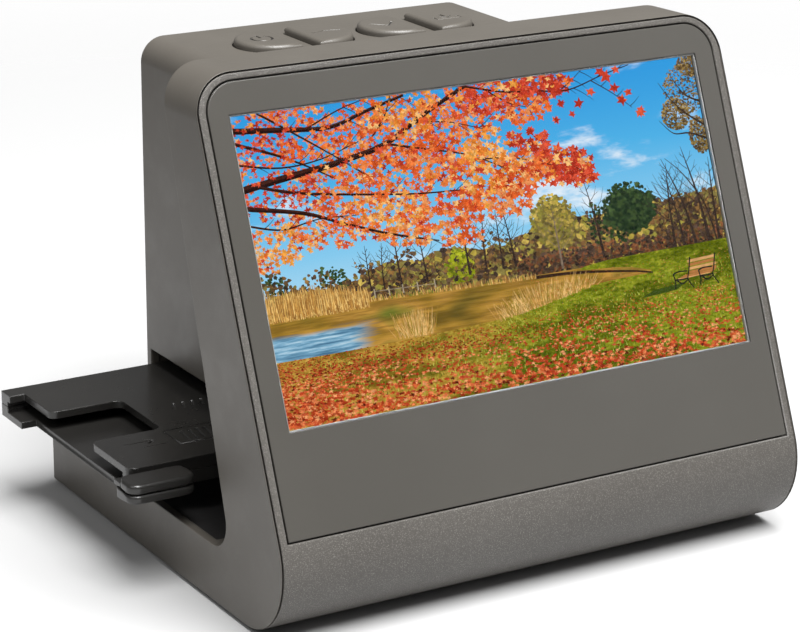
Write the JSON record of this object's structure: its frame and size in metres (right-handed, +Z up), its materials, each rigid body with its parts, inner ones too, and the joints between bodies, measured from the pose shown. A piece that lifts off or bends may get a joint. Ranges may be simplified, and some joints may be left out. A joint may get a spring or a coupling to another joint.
{
  "type": "slide viewer",
  "caption": "Desktop slide and film viewer: a tilted display slab, a camera tower behind it with push buttons, and a film tray sliding through a tunnel.",
  "frame": {"origin": "middle of the footprint, on the surface that the rubber feet stand on", "axes": "+X along the screen to the right seen from the front, +Y from the screen to the back, +Z up"},
  "size_m": [0.151, 0.1074, 0.1076],
  "materials": {
    "grey_shell": "smooth satin grey plastic",
    "textured_bezel": "fine spark-textured grey plastic",
    "window_glass": "flat cover plate, smoked border, clear over the display",
    "black_plastic": "black moulded plastic",
    "tray_plastic": "black satin moulded plastic",
    "rubber": "soft black rubber",
    "steel": "zinc-plated steel",
    "display": "lit display showing a sample landscape",
    "metal_tray": "pressed sheet",
    "circuit": "solder-masked board",
    "chip": "moulded chip",
    "ribbon": "flat flexible ribbon",
    "optic": "coated glass",
    "white_plastic": "white reflector plastic",
    "opal": "opal diffuser",
    "lamp": "lamp package"
  },
  "bodies": {
    "casing": {"main_housing": "grey_shell", "tower_housing": "grey_shell", "front_bezel": "textured_bezel", "screen_window": "window_glass", "base_cover": "grey_shell", "rubber_feet": "rubber", "base_screws": "steel", "tower_screws": "steel", "lcd_panel": "display", "backlight_frame": "metal_tray", "display_cable": "ribbon", "main_circuit_board": "circuit", "board_chips": "chip", "card_socket": "steel", "power_socket": "steel", "video_socket": "steel", "button_board": "circuit", "button_switches": "chip", "button_board_screws": "steel", "optics_frame": "black_plastic", "lens_barrel": "black_plastic", "lens_front_glass": "optic", "lens_back_glass": "optic", "lens_lock_ring": "black_plastic", "sensor_board": "circuit", "image_sensor": "chip", "sensor_screws": "steel", "sensor_cable": "ribbon", "main_board_screws": "steel", "film_deck": "black_plastic", "light_box": "white_plastic", "lamp_board": "circuit", "lamps": "lamp", "diffuser": "opal", "lamp_cable": "ribbon"},
    "power_button": {"power_button": "grey_shell"},
    "up_button": {"up_button": "grey_shell"},
    "down_button": {"down_button": "grey_shell"},
    "save_button": {"save_button": "grey_shell"},
    "film_tray": {"tray_floor_plate": "tray_plastic", "tray_hinge_pins": "steel"},
    "tray_lid": {"tray_lid": "tray_plastic"}
  },
  "joints": [
    {"name": "power_button_press", "type": "slide", "parent": "casing", "child": "power_button", "axis": [0, 0, -1], "range_m": [0, 0.0008], "stiffness_N_per_m": 600},
    {"name": "up_button_press", "type": "slide", "parent": "casing", "child": "up_button", "axis": [0, 0, -1], "range_m": [0, 0.0008], "stiffness_N_per_m": 600},
    {"name": "down_button_press", "type": "slide", "parent": "casing", "child": "down_button", "axis": [0, 0, -1], "range_m": [0, 0.0008], "stiffness_N_per_m": 600},
    {"name": "save_button_press", "type": "slide", "parent": "casing", "child": "save_button", "axis": [0, 0, -1], "range_m": [0, 0.0008], "stiffness_N_per_m": 600},
    {"name": "tray_slide", "type": "slide", "parent": "casing", "child": "film_tray", "axis": [1, 0, 0], "range_m": [-0.1, 0.014]},
    {"name": "lid_hinge", "type": "hinge", "parent": "film_tray", "child": "tray_lid", "pos_m": [0, 0.0492, 0.0206], "axis": [-1, 0, 0], "range_deg": [0, 2.5]}
  ]
}
